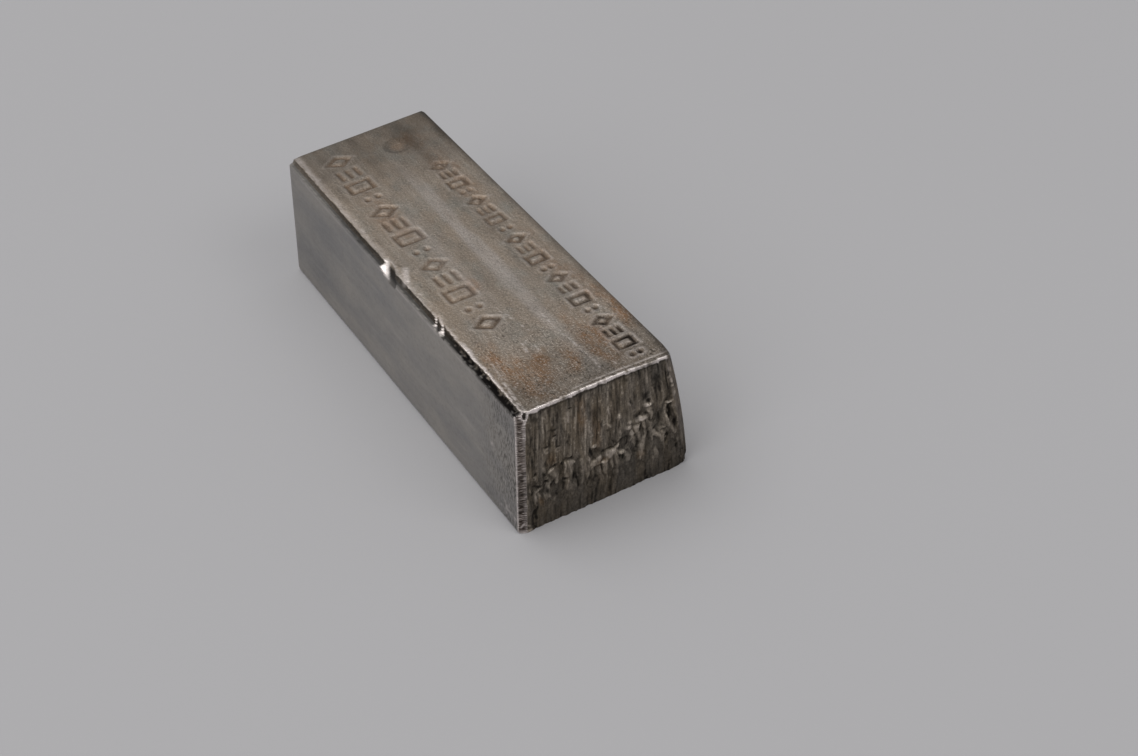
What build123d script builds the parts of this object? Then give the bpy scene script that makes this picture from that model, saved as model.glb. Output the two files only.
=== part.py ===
from build123d import *
import math
import os

# A short, heavy bar of silver stock, solid all through. Its section is a trapezoid that is wider at
# the base, and both ends are sheared off. It lies on its wide base with its length along Y. The near
# end, at -Y, is the torn one. The origin is at the middle of the base.

# Section of the stock, in millimetres
TOP_WIDTH = 17.3
BASE_WIDTH = 19.7
HEIGHT = 14.7
TOP_RIGHT_RADIUS = 0.4
BASE_RIGHT_RADIUS = 1.4
BASE_LEFT_RADIUS = 0.4

# How far the right flank swells out past straight, half way up
RIGHT_FULLNESS = 0.28

# The scuffed bevel that runs the whole length where the top meets the left flank, and its hollow
BEVEL_ON_TOP = 0.65
BEVEL_ON_FLANK = 0.5
BEVEL_HOLLOW = 0.15

# Length over the base, and how far out of square the shear left each end, in degrees
LENGTH = 54.7
NEAR_END_LEAN = 1.1
FAR_END_SKEW = 1.7
SHEAR_ALLOWANCE = 3.0

# Upright corners of the near end: the left one is filed off, more at the top than at the base, and
# the right one is rolled over by the shear
FILED_AT_BASE = 0.9
FILED_AT_TOP = 1.6
FILED_ON_FLANK = 0.4
ROLLED_ON_END = 0.5
ROLLED_ON_FLANK = 0.4

# Nicks across the beveled edge: place along the bar, half length of the mouth, and depth
LARGE_NICK_PLACE = 1.1
LARGE_NICK_HALF_LENGTH = 2.6
LARGE_NICK_DEPTH = 0.95
SMALL_NICK_PLACE = -11.6
SMALL_NICK_HALF_LENGTH = 1.2
SMALL_NICK_DEPTH = 0.7
SLIGHT_NICK_PLACE = -9.6
SLIGHT_NICK_HALF_LENGTH = 0.9
SLIGHT_NICK_DEPTH = 0.6
NICK_REACH = 4.0

# Two rows of plain marks were punched into the top by hand: lozenges, dashes, squares and dots in turn.
# A row runs from near the far end to near the torn one, and its marks stand across the bar.
STROKE = 0.44
MARK_DEPTH = 0.2
MARK_WIDTH_TO_HEIGHT = 0.72
DASH_SPACING_TO_HEIGHT = 0.4
DOT_SPACING_TO_HEIGHT = 0.5
DOT_RADIUS = 0.31
LEFT_MARK_HEIGHT = 3.0
LEFT_MARK_PITCH = 3.0
LEFT_ROW_FROM_LEFT_EDGE = 4.6
LEFT_ROW_FROM_FAR_END = 4.35
LEFT_ROW_FROM_NEAR_END = 14.75
RIGHT_MARK_HEIGHT = 2.2
RIGHT_MARK_PITCH = 2.15
RIGHT_ROW_FROM_RIGHT_EDGE_FAR = 3.75
RIGHT_ROW_FROM_RIGHT_EDGE_NEAR = 2.9
RIGHT_ROW_FROM_FAR_END = 11.65
RIGHT_ROW_FROM_NEAR_END = 2.15

# The round dimple by the far end of the right row
DIMPLE_RADIUS = 1.75
DIMPLE_DEPTH = 0.22
DIMPLE_FROM_RIGHT_EDGE = 5.85
DIMPLE_FROM_FAR_END = 5.15

SILVER_DENSITY = 10.49

# Each flank leans in by this much from the base to the top
flare = (BASE_WIDTH - TOP_WIDTH) / 2
half_length = LENGTH / 2
bevel_on_top = (BEVEL_ON_TOP - TOP_WIDTH / 2, HEIGHT)
bevel_on_flank = (-TOP_WIDTH / 2 - flare * BEVEL_ON_FLANK / HEIGHT, HEIGHT - BEVEL_ON_FLANK)

# Planes that the ends were sheared to. Each passes through the edge of the base that reaches furthest,
# and faces out of the bar.
near_shear = Plane(
    origin=(0, -half_length, 0),
    z_dir=Vector(0, -1, 0).rotate(Axis.X, -NEAR_END_LEAN),
)
far_shear = Plane(
    origin=(BASE_WIDTH / 2, half_length, 0),
    z_dir=Vector(0, 1, 0).rotate(Axis.Z, FAR_END_SKEW),
)


def corner_plane(side, at_base, at_top, on_flank):
    """The flat that takes off an upright corner of the near end, facing out of the bar.

    side is -1 for the left corner and 1 for the right. Across the end, the flat starts at_base in
    from the flank at the base and at_top in from it at the top. It meets the flank on_flank back from
    the end, at the base.
    """
    low_on_end = Vector(side * (BASE_WIDTH / 2 - at_base), -half_length, 0)
    high_on_end = Vector(side * (TOP_WIDTH / 2 - at_top), -half_length, HEIGHT)
    low_on_flank = Vector(side * BASE_WIDTH / 2, -half_length + on_flank, 0)
    outward = (low_on_flank - low_on_end).cross(high_on_end - low_on_end) * side
    return Plane(origin=low_on_end, x_dir=high_on_end - low_on_end, z_dir=outward)


def nick_plane(place):
    """Lengthwise plane through the beveled edge, with its local Y straight out of the edge."""
    return Plane(origin=(-TOP_WIDTH / 2, place, HEIGHT), x_dir=(0, 1, 0), z_dir=(1, 0, 1))


def lozenge(height, width):
    """An outline of four equal strokes. height and width are over the middles of the strokes."""
    growth = STROKE * math.hypot(height, width) / (height * width)
    for scale, mode in ((1 + growth, Mode.ADD), (1 - growth, Mode.SUBTRACT)):
        across, along = scale * height / 2, scale * width / 2
        Polygon((across, 0), (0, along), (-across, 0), (0, -along), mode=mode)


def square(height, width):
    """An outline of four strokes at right angles."""
    Rectangle(height + STROKE, width + STROKE)
    Rectangle(height - STROKE, width - STROKE, mode=Mode.SUBTRACT)


def dashes(height, width):
    """Three short strokes along the bar."""
    with GridLocations(DASH_SPACING_TO_HEIGHT * height, 0, 3, 1):
        Rectangle(STROKE, width)


def dots(height, width):
    """Two round dots."""
    with GridLocations(DOT_SPACING_TO_HEIGHT * height, 0, 2, 1):
        Circle(DOT_RADIUS)


def punch_row(far_mark, near_mark, height, pitch):
    """Draws a row of marks in turn on a sketch of the top, evenly from far_mark to near_mark."""
    count = round((far_mark.Y - near_mark.Y) / pitch) + 1
    for number in range(count):
        with Locations(far_mark + (near_mark - far_mark) * (number / (count - 1))):
            mark = (lozenge, dashes, square, dots)[number % 4]
            mark(height - STROKE, MARK_WIDTH_TO_HEIGHT * (height - STROKE))


with BuildPart() as silver_bar:
    # The drawn stock, longer than the bar
    with BuildSketch(Plane.XZ.offset(half_length + SHEAR_ALLOWANCE)):
        with BuildLine():
            Line((TOP_WIDTH / 2, HEIGHT), bevel_on_top)
            SagittaArc(bevel_on_top, bevel_on_flank, BEVEL_HOLLOW)
            Polyline(bevel_on_flank, (-BASE_WIDTH / 2, 0), (BASE_WIDTH / 2, 0))
            SagittaArc((BASE_WIDTH / 2, 0), (TOP_WIDTH / 2, HEIGHT), -RIGHT_FULLNESS)
        make_face()
        fillet(vertices().group_by(Axis.Y)[0].sort_by(Axis.X)[-1], BASE_RIGHT_RADIUS)
        fillet(vertices().group_by(Axis.Y)[0].sort_by(Axis.X)[0], BASE_LEFT_RADIUS)
        fillet(vertices().group_by(Axis.Y)[-1].sort_by(Axis.X)[-1], TOP_RIGHT_RADIUS)
    extrude(amount=-(LENGTH + 2 * SHEAR_ALLOWANCE))

    # Both ends are sheared off, and the near end's upright corners are taken down
    split(bisect_by=near_shear, keep=Keep.BOTTOM)
    split(bisect_by=far_shear, keep=Keep.BOTTOM)
    split(bisect_by=corner_plane(-1, FILED_AT_BASE, FILED_AT_TOP, FILED_ON_FLANK), keep=Keep.BOTTOM)
    split(bisect_by=corner_plane(1, ROLLED_ON_END, ROLLED_ON_END, ROLLED_ON_FLANK), keep=Keep.BOTTOM)

    # Each nick is a V whose mouth is at the sharp line of the edge
    for place, half_mouth, depth in (
        (LARGE_NICK_PLACE, LARGE_NICK_HALF_LENGTH, LARGE_NICK_DEPTH),
        (SMALL_NICK_PLACE, SMALL_NICK_HALF_LENGTH, SMALL_NICK_DEPTH),
        (SLIGHT_NICK_PLACE, SLIGHT_NICK_HALF_LENGTH, SLIGHT_NICK_DEPTH),
    ):
        with BuildSketch(nick_plane(place)):
            with BuildLine():
                Polyline((-half_mouth, 0), (half_mouth, 0), (0, -depth), close=True)
            make_face()
        extrude(amount=NICK_REACH, both=True, mode=Mode.SUBTRACT)

    # The marks are pressed straight down, and the dimple with a ball
    with BuildSketch(Plane.XY.offset(HEIGHT)):
        left_row_x = LEFT_ROW_FROM_LEFT_EDGE - TOP_WIDTH / 2
        punch_row(
            Vector(left_row_x, half_length - LEFT_ROW_FROM_FAR_END),
            Vector(left_row_x, LEFT_ROW_FROM_NEAR_END - half_length),
            LEFT_MARK_HEIGHT,
            LEFT_MARK_PITCH,
        )
        punch_row(
            Vector(TOP_WIDTH / 2 - RIGHT_ROW_FROM_RIGHT_EDGE_FAR, half_length - RIGHT_ROW_FROM_FAR_END),
            Vector(TOP_WIDTH / 2 - RIGHT_ROW_FROM_RIGHT_EDGE_NEAR, RIGHT_ROW_FROM_NEAR_END - half_length),
            RIGHT_MARK_HEIGHT,
            RIGHT_MARK_PITCH,
        )
    extrude(amount=-MARK_DEPTH, mode=Mode.SUBTRACT)
    ball_radius = (DIMPLE_RADIUS**2 + DIMPLE_DEPTH**2) / (2 * DIMPLE_DEPTH)
    dimple_x = TOP_WIDTH / 2 - DIMPLE_FROM_RIGHT_EDGE
    with Locations((dimple_x, half_length - DIMPLE_FROM_FAR_END, HEIGHT - DIMPLE_DEPTH + ball_radius)):
        Sphere(ball_radius, mode=Mode.SUBTRACT)

silver_bar.part.label = "silver_bar"
os.makedirs("parts", exist_ok=True)
export_step(silver_bar.part, "parts/silver_bar.step")

cubic_centimetres = silver_bar.part.volume / 1000
print(f"silver_bar: {cubic_centimetres:.3f} cm3, {cubic_centimetres * SILVER_DENSITY:.1f} g")
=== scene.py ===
import math

import bpy
import numpy as np
from mathutils import Matrix


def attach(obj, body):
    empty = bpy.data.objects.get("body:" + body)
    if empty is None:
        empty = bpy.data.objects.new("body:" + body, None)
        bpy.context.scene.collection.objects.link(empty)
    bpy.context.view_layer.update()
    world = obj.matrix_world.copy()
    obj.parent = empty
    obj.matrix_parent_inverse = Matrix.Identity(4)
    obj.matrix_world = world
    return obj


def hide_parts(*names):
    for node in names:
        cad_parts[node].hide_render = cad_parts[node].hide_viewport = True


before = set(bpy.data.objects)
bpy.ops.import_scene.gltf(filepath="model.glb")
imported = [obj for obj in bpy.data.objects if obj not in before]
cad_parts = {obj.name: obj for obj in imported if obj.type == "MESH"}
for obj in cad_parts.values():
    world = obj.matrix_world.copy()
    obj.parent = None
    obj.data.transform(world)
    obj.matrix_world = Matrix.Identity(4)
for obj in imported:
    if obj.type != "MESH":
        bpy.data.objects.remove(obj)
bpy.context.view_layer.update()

# The stock. The bar is one length of solid silver, drawn through a die to a trapezoidal section and
# then sheared off. It is worked out here in millimetres, as the surface of a unit cube stretched to
# the stock's sharp outline. The sections after it round, strike, stamp and tear that surface.
TOP_WIDTH = 17.3
BASE_WIDTH = 19.7
HEIGHT = 14.7
LENGTH = 54.7
NEAR_END_LEAN = math.radians(1.1)
FAR_END_SKEW = math.radians(1.7)
TOP_RIGHT_RADIUS = 0.4
BASE_RIGHT_RADIUS = 1.4
BASE_LEFT_RADIUS = 0.4

END_COLUMNS = 250
END_ROWS = 160
SKIRT_RINGS = 8
SKIRT_DEPTH = 1.0
BODY_RINGS = 220
BASE_STEPS = 14
RIGHT_STEPS = 30
TOP_STEPS = 118
LEFT_STEPS = 44
FAR_COLUMNS = 56
FAR_ROWS = 44

flare = (BASE_WIDTH - TOP_WIDTH) / 2
flank_slope = math.atan2(flare, HEIGHT)
top_out = np.array([0.0, 0.0, 1.0])
base_out = -top_out
left_out = np.array([-math.cos(flank_slope), 0.0, math.sin(flank_slope)])
right_out = left_out * [-1, 1, 1]
near_out = np.array([0.0, -math.cos(NEAR_END_LEAN), math.sin(NEAR_END_LEAN)])
far_out = np.array([-math.sin(FAR_END_SKEW), math.cos(FAR_END_SKEW), 0.0])


def crowded(count, low_pull, high_pull):
    """Steps from 0 to 1 that close up towards the ends: t, bent by a quartic at each end."""
    t = np.linspace(0, 1, count + 1)
    return t - low_pull * t * (1 - t) ** 3 + high_pull * t**3 * (1 - t)


def end_grid(columns, rows):
    """A grid over the end of the unit cube, as point numbers and as (across, up) from 0 to 1."""
    across, up = np.meshgrid(np.linspace(0, 1, columns + 1), np.linspace(0, 1, rows + 1))
    return np.arange(across.size).reshape(across.shape), across.ravel(), up.ravel()


def rim_of(numbers):
    """A grid's border as a closed ring, along the base, right, top and left, and its walk, 0 to 4."""
    ring = np.concatenate([numbers[0, :-1], numbers[:-1, -1], numbers[-1, :0:-1], numbers[:0:-1, 0]])
    rows, columns = numbers.shape
    sides = [np.linspace(side, side + 1, count)[:-1] for side, count in enumerate([columns, rows] * 2)]
    return ring, np.concatenate(sides)


def ring_place(walk):
    """(across, up) on the cube's four long sides, for a walk round them from 0 to 4."""
    return np.clip(np.minimum(walk, 3 - walk), 0, 1), np.clip(np.minimum(walk - 1, 4 - walk), 0, 1)


def grid_faces(numbers):
    """Four-sided faces between the rows of a grid of point numbers."""
    low, high = numbers[:-1], numbers[1:]
    return np.stack([low[:, :-1], low[:, 1:], high[:, 1:], high[:, :-1]], axis=-1).reshape(-1, 4)


def ring_faces(near_ring, far_ring):
    """Four-sided faces between two rings of as many points, facing out."""
    return np.stack([near_ring, far_ring, np.roll(far_ring, -1), np.roll(near_ring, -1)], axis=-1)


def zip_faces(near_ring, near_walk, far_ring, far_walk):
    """Triangles that close two rings of unlike counts.

    Each stretch of either ring makes a triangle with the point abreast of its middle on the other ring.
    """
    near_middle = (near_walk + np.append(near_walk[1:], 4)) / 2
    far_middle = (far_walk + np.append(far_walk[1:], 4)) / 2
    abreast_far = far_ring[np.searchsorted(far_middle, near_middle, side="left") % far_ring.size]
    abreast_near = near_ring[np.searchsorted(near_middle, far_middle, side="right") % near_ring.size]
    return np.concatenate([
        np.stack([near_ring, abreast_far, np.roll(near_ring, -1)], axis=-1),
        np.stack([abreast_near, far_ring, np.roll(far_ring, -1)], axis=-1),
    ])


def stretched(cube):
    """The cube's width follows the stock's trapezoid, and its length runs from end to sheared end."""
    x = (cube[:, 0] - 0.5) * (BASE_WIDTH - 2 * flare * cube[:, 1])
    z = HEIGHT * cube[:, 1]
    near_y = -LENGTH / 2 + z * math.tan(NEAR_END_LEAN)
    far_y = LENGTH / 2 + (x - BASE_WIDTH / 2) * math.tan(FAR_END_SKEW)
    return np.stack([x, near_y + (far_y - near_y) * cube[:, 2], z], axis=-1)


def round_edge(points, on_edge, out_a, out_b, radius):
    """Rounds the edge between two flat faces to an arc.

    A point beyond the arc's centre line is drawn in along its own ray from that line, by as much as
    brings the two faces onto the arc.
    """
    along = np.cross(out_a, out_b)
    along = along / np.linalg.norm(along)
    lean = out_a @ out_b
    ray = points - (on_edge - (out_a + out_b) * radius / (1 + lean))
    ray = ray - (ray @ along)[:, None] * along
    height_a, height_b = ray @ out_a, ray @ out_b
    beyond = (height_b > lean * height_a) & (height_a > lean * height_b)
    drawn_in = np.maximum(height_a, height_b) / np.maximum(np.linalg.norm(ray, axis=1), 1e-9) - 1
    return points + np.where(beyond, drawn_in, 0)[:, None] * ray


# The near end's grid, with a skirt of rings as fine behind its rim
numbers, across, up = end_grid(END_COLUMNS, END_ROWS)
end_shape = numbers.shape
last_ring, last_walk = rim_of(numbers)
rim_across, rim_up = ring_place(last_walk)
cube = [np.stack([across, up, np.zeros(across.size)], axis=-1)]
quads = [grid_faces(numbers)]
triangles = []
point_count = numbers.size
for depth in np.linspace(0, SKIRT_DEPTH / LENGTH, SKIRT_RINGS + 1)[1:]:
    ring = point_count + np.arange(last_ring.size)
    cube.append(np.stack([rim_across, rim_up, np.full(ring.size, depth)], axis=-1))
    quads.append(ring_faces(last_ring, ring))
    last_ring = ring
    point_count += ring.size

# The body's rings, fewer round the plain faces and crowded towards the struck edge
body_walk = np.concatenate([
    np.linspace(0, 1, BASE_STEPS + 1)[:-1],
    1 + crowded(RIGHT_STEPS, 0.6, 0.6)[:-1],
    2 + crowded(TOP_STEPS, 0.3, 0.6)[:-1],
    3 + crowded(LEFT_STEPS, 0.9, 0.3)[:-1],
])
body_across, body_up = ring_place(body_walk)
body_depths = SKIRT_DEPTH / LENGTH + (1 - SKIRT_DEPTH / LENGTH) * crowded(BODY_RINGS, 0.45, 0.1)
for depth in body_depths[1:-1]:
    ring = point_count + np.arange(body_walk.size)
    cube.append(np.stack([body_across, body_up, np.full(ring.size, depth)], axis=-1))
    if last_walk is body_walk:
        quads.append(ring_faces(last_ring, ring))
    else:
        triangles.append(zip_faces(last_ring, last_walk, ring, body_walk))
    last_ring, last_walk = ring, body_walk
    point_count += ring.size

# The far end's grid, turned to face away
numbers, across, up = end_grid(FAR_COLUMNS, FAR_ROWS)
far_rim, far_walk = rim_of(numbers + point_count)
cube.append(np.stack([across, up, np.ones(across.size)], axis=-1))
quads.append(grid_faces(numbers + point_count)[:, ::-1])
triangles.append(zip_faces(last_ring, last_walk, far_rim, far_walk))
cube = np.concatenate(cube)
quads = np.concatenate(quads)
triangles = np.concatenate(triangles)
on_top = cube[:, 1] == 1
on_left = cube[:, 0] == 0
on_near_end = cube[:, 2] == 0

points = stretched(cube)
end_x, end_z = points[:, 0].copy(), points[:, 2].copy()
from_near_end = cube[:, 2] * LENGTH
top_right = np.array([TOP_WIDTH / 2, 0.0, HEIGHT])
top_left = top_right * [-1, 1, 1]
base_right = np.array([BASE_WIDTH / 2, 0.0, 0.0])
base_left = -base_right
points = round_edge(points, top_right, top_out, right_out, TOP_RIGHT_RADIUS)
points = round_edge(points, base_right, base_out, right_out, BASE_RIGHT_RADIUS)
points = round_edge(points, base_left, base_out, left_out, BASE_LEFT_RADIUS)

# Each point carries its finish as shares from 0 to 1. Here are how far handling and blows have laid the
# silver bare, with painted highlights in the same share, how thickly black sulphide has gathered in a
# hollow, with painted shade in the same share, and how brown the tarnish is.
bare_and_highlight = np.zeros(len(points))
soot_and_shade = np.zeros(len(points))
brown = np.zeros(len(points))


def linear(hex_code):
    """An sRGB hex colour as linear RGBA, by the sRGB curve."""
    parts = [int(hex_code[i:i + 2], 16) / 255 for i in (1, 3, 5)]
    return [p / 12.92 if p <= 0.04045 else ((p + 0.055) / 1.055) ** 2.4 for p in parts] + [1.0]


def add(tree, kind, inputs=None, **settings):
    """Adds a shader node with its settings. A socket as an input is linked, and any other is its value."""
    made = tree.nodes.new("ShaderNode" + kind)
    for name, value in settings.items():
        setattr(made, name, value)
    for name, value in (inputs or {}).items():
        if isinstance(value, bpy.types.NodeSocket):
            tree.links.new(value, made.inputs[name])
        else:
            made.inputs[name].default_value = value
    return made


def start_material(name):
    """A new material with an empty tree, and its Object coordinates turned to millimetres."""
    material = bpy.data.materials.new(name)
    material.use_nodes = True
    tree = material.node_tree
    tree.nodes.clear()
    where = add(tree, "TexCoord").outputs["Object"]
    millimetres = add(tree, "Mapping", {"Vector": where, "Scale": (1000, 1000, 1000)})
    return material, tree, millimetres.outputs["Vector"]


def share_of(tree, name):
    """The share from 0 to 1 that the points carry under this name."""
    return add(tree, "Attribute", attribute_name=name).outputs["Fac"]


def ranged(value, from_low, from_high, to_low=0, to_high=1):
    """A value carried over from one range to another, and held at its ends.

    This and the functions after it find the tree from a socket that they are given, as its id_data.
    """
    return add(value.id_data, "MapRange", {
        "Value": value, "From Min": from_low, "From Max": from_high, "To Min": to_low, "To Max": to_high,
    }).outputs["Result"]


def pattern(place, size, stretch=(1, 1, 1), turn=(0, 0, 0), detail=3, low=0.35, high=0.65):
    """Noise with features of the given size in mm, stretched along its axes, as a share from 0 to 1."""
    turned = add(place.id_data, "Mapping", {
        "Vector": place, "Rotation": turn, "Scale": [1 / (size * s) for s in stretch],
    })
    noise = add(place.id_data, "TexNoise", {
        "Vector": turned.outputs["Vector"], "Scale": 1, "Detail": detail, "Roughness": 0.6,
    })
    return ranged(noise.outputs["Fac"], low, high)


def mixed(share, low, high):
    """Colour low where the share is 0 and colour high where it is 1. Either may be a hex or a socket."""
    low, high = (linear(c) if isinstance(c, str) else c for c in (low, high))
    mix = add(share.id_data, "Mix", {0: share, 6: low, 7: high}, data_type="RGBA")
    return mix.outputs[2]


def scaled(share, factor):
    """A share times a number or another share."""
    return add(share.id_data, "Math", {0: share, 1: factor}, operation="MULTIPLY").outputs[0]


def layered(tone, *layers):
    """Lays colours over a tone in turn. Each layer is a share, how strongly it shows, and its colour."""
    for share, strength, colour in layers:
        tone = mixed(scaled(share, strength), tone, colour)
    return tone


def summed(one, other):
    """The sum of two values."""
    return add(one.id_data, "Math", {0: one, 1: other}, operation="ADD").outputs[0]


def finish(tone, dullness, relief, relief_depth):
    """Lays black sulphide with painted shade, and bare silver with painted highlights, over a tone by the
    points' shares, and makes the shader.

    The dark share adds to the roughness, and the bare share takes some off. The relief's depth is in metres.
    """
    tree = tone.id_data
    soot_and_shade_share, bare_and_highlight_share = share_of(tree, "soot_and_shade"), share_of(tree, "bare_and_highlight")
    colour = layered(tone, (soot_and_shade_share, 1, "#1A1817"), (bare_and_highlight_share, 1, "#F3E9E5"))
    rough = summed(dullness, ranged(soot_and_shade_share, 0, 1, 0, 0.25))
    rough = summed(rough, ranged(bare_and_highlight_share, 0, 1, 0, -0.17))
    bump = add(tree, "Bump", {"Height": relief, "Distance": relief_depth, "Strength": 1.0})
    shader = add(tree, "BsdfPrincipled", {
        "Base Color": colour, "Metallic": 1, "Roughness": rough, "Normal": bump.outputs["Normal"],
    })
    add(tree, "OutputMaterial", {"Surface": shader.outputs["BSDF"]})


# Silver as it left the die, under years of tarnish: a soft grey sheen, a little browner in the middle,
# with faint lines along it and fine dark specks
drawn, tree, place = start_material("drawn_tarnished_silver")
scuffed_share = share_of(tree, "scuffed")
scuff = pattern(place, 0.2, (1, 1, 3), (0.3, 0, 0), detail=2, low=0.45, high=0.62)
glint = pattern(place, 0.14, (1, 1, 7), (-0.35, 0, 0), detail=1, low=0.6, high=0.7)
tone = layered(
    mixed(pattern(place, 5, (1, 3, 1)), "#959392", "#ABA6A0"),
    (pattern(place, 0.6, (1, 12, 1), low=0.5, high=0.8), 0.35, "#BEB9B2"),
    (pattern(place, 0.3, (1, 1.6, 1), low=0.5, high=0.75), 0.26, "#6E6861"),
    (share_of(tree, "brown"), 1, "#8A7A66"),
    (scaled(scuff, scuffed_share), 0.9, "#47423D"),
    (scaled(glint, scuffed_share), 0.6, "#D8D2CA"),
)
dullness = ranged(pattern(place, 2), 0, 1, 0.4, 0.5)
finish(tone, dullness, pattern(place, 0.2, (1, 4, 1)), 0.00001)


def ease(value, low, high):
    """0 below low, 1 above high, and the smooth step 3t^2 - 2t^3 between them."""
    t = np.clip((value - low) / (high - low), 0, 1)
    return t * t * (3 - 2 * t)


def fade(value, low, high):
    """1 below low, 0 above high, and eased between them."""
    return 1 - ease(value, low, high)


def bell(value, middle, half_width):
    """A bell: e to the minus square of the distance from its middle in half widths."""
    return np.exp(-(((value - middle) / half_width) ** 2))


# Noise comes round again after this many cells along each axis
NOISE_CELLS = (251, 257)


def grain(x, y, size_x, size_y, seed):
    """Noise from -1 to 1: random heights at the corners of size_x by size_y cells, eased between."""
    table = np.random.default_rng(seed).uniform(-1, 1, NOISE_CELLS)
    column, row = x / size_x, y / size_y
    i, j = np.floor(column).astype(int), np.floor(row).astype(int)
    s, t = ease(column - i, 0, 1), ease(row - j, 0, 1)
    i, next_i = i % NOISE_CELLS[0], (i + 1) % NOISE_CELLS[0]
    j, next_j = j % NOISE_CELLS[1], (j + 1) % NOISE_CELLS[1]
    low = table[i, j] * (1 - s) + table[next_i, j] * s
    high = table[i, next_j] * (1 - s) + table[next_i, next_j] * s
    return low * (1 - t) + high * t


def wander(along, size, seed):
    """The same noise along one line only."""
    return grain(along, 0, size, 1, seed)


# The long faces. The die left the right flank a little full, and all of them very slightly uneven. At
# the far end the shear pressed their edges round.
RIGHT_FULLNESS = 0.28
UNEVENNESS = 0.02
BURR_HEIGHT = 0.06
FAR_EDGE_RADIUS = 0.4
share_up = end_z / HEIGHT
flank_x = BASE_WIDTH / 2 - flare * share_up
points[:, 0] += RIGHT_FULLNESS * 4 * share_up * (1 - share_up) * ease(cube[:, 0], 0.6, 1)
x, y, z = points.T
points[:, 2] -= share_up * (BURR_HEIGHT + UNEVENNESS * (1 + grain(x, y, 6, 9, 1)))
points[:, 0] += UNEVENNESS * ease(0.5 - cube[:, 0], 0.3, 0.5) * (1.1 + grain(y, z, 9, 5, 2))
points[:, 0] -= UNEVENNESS * ease(cube[:, 0] - 0.5, 0.3, 0.5) * (1.1 + grain(y, z, 9, 5, 3))
for side_out, edge in (
    (top_out, top_left), (left_out, top_left), (right_out, top_right), (base_out, base_left),
):
    far_edge_y = LENGTH / 2 + (edge[0] - BASE_WIDTH / 2) * math.tan(FAR_END_SKEW)
    far_edge = np.array([edge[0], far_edge_y, edge[2]])
    points = round_edge(points, far_edge, far_out, side_out, FAR_EDGE_RADIUS)

# The left flank is scuffed and pitted near the torn end, with a faint rubbed line half way up
RUBBED_LINE_UP = 7.4
# Pale scratches by the place of each end along the bar and up it
SCRATCH_HALF_WIDTH = 0.17
FLANK_SCRATCHES = (
    ((-24.3, 2.2), (-25.6, 1.5)), ((-23.4, 1.4), (-24.8, 1.1)), ((-25.2, 2.4), (-26.4, 1.2)),
    ((-21.6, 8), (-22.3, 7.6)), ((-24.6, 1.7), (-26.6, 1.6)),
)


def stroke(x, y, start, stop, half_width, taper=0):
    """1 along a straight line from start to stop and 0 away from it, eased between.

    With a taper, the line narrows and fades by that share on the way.
    """
    run_x, run_y = stop[0] - start[0], stop[1] - start[1]
    share = np.clip(((x - start[0]) * run_x + (y - start[1]) * run_y) / (run_x**2 + run_y**2), 0, 1)
    left = 1 - taper * share
    away = np.hypot(x - start[0] - share * run_x, y - start[1] - share * run_y) / (half_width * left)
    return fade(away, 0.2, 1.4) * left


def most(shares):
    """The highest of several shares at each point."""
    return np.max(np.stack(list(shares)), axis=0)


x, y, z = points.T
scuffed = on_left * fade(y, -25.5, -17) * (0.6 + 0.4 * grain(y, z, 2.2, 2.6, 80))
scuffed = np.maximum(scuffed, 0.8 * on_left * fade(y, -26, -20) * fade(z, 0.6, 2.4))
soot_and_shade = np.maximum(soot_and_shade, 0.1 * scuffed + 0.1 * on_left * ease(y, 2, 24))
brown = np.maximum(brown, 0.3 * scuffed)
scratched = most(stroke(y, z, *line, SCRATCH_HALF_WIDTH) for line in FLANK_SCRATCHES)
bare_and_highlight = np.maximum(bare_and_highlight, 0.4 * on_left * scratched * ease(grain(y, z, 0.5, 0.5, 88), -0.8, 0.4))
rubbed_line = bell(z, RUBBED_LINE_UP + 0.02 * y, 0.14) * ease(y, -21, -16) * fade(y, -2, 4)
bare_and_highlight = np.maximum(bare_and_highlight, 0.15 * on_left * rubbed_line * (0.8 + 0.4 * grain(y, z, 1.2, 2, 83)))

# The top. It is the drawn face with a warm toning. A paler streak runs along it right of the middle,
# where it was rubbed. Near the torn end the tarnish is darker, with brown patches.
STREAK_X = 1.3
STREAK_HALF_WIDTH = 1.0
# Brown patches by place, half width and half length
PATCHES = (
    (-4.5, -22.8, 3, 4.2), (-5.2, -23.8, 1.5, 2.2), (0.1, -22.3, 1.4, 2.4), (3.3, -21.4, 1.5, 6.5),
    (-2.7, -20.8, 1.5, 1.7), (-6.4, -18.6, 1.5, 3.4), (7.9, -18.5, 0.9, 3.2), (-2.6, -6.5, 1, 1.6),
    (7.3, -13.5, 1.1, 3.4),
)
# Fainter and longer brown toning by the rows of marks, in the same order
TONING = ((6.4, -8, 1.2, 9), (-4.4, 10.5, 1.6, 7), (5.2, 13, 1.6, 9), (4.4, 22.5, 2.4, 2.6))
# Dark patches in the same order, and their strength
DARK_PATCHES = ((-6.2, -25.6, 3.5, 3, 0.2), (3, -26.2, 6.5, 3, 0.14), (-2.5, -19.2, 0.4, 0.5, 0.25))
# Rubbed scratches by the place of each end, and half width
RUBS = (
    ((1.75, -26.5), (1.5, -21), 0.13), ((1.5, -21), (1, -14.5), 0.09), ((-7.4, -25), (-6.7, -17.5), 0.14),
    ((-6.9, -22), (-6.1, -18), 0.1), ((-7.6, -26.4), (-7.3, -22), 0.12),
    ((-5.2, -25.3), (-3.6, -23.8), 0.08), ((-2.1, -17.5), (-2.8, -17.7), 0.18),
    ((-2.8, -17.7), (-3, -18.9), 0.18), ((-1.9, -18.6), (-2.1, -19.6), 0.14),
    ((-1.2, -16), (-2.4, -10), 0.08), ((-6.9, -23.4), (-6, -22.6), 0.08), ((3.4, -26.4), (3, -24), 0.08),
)


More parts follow.
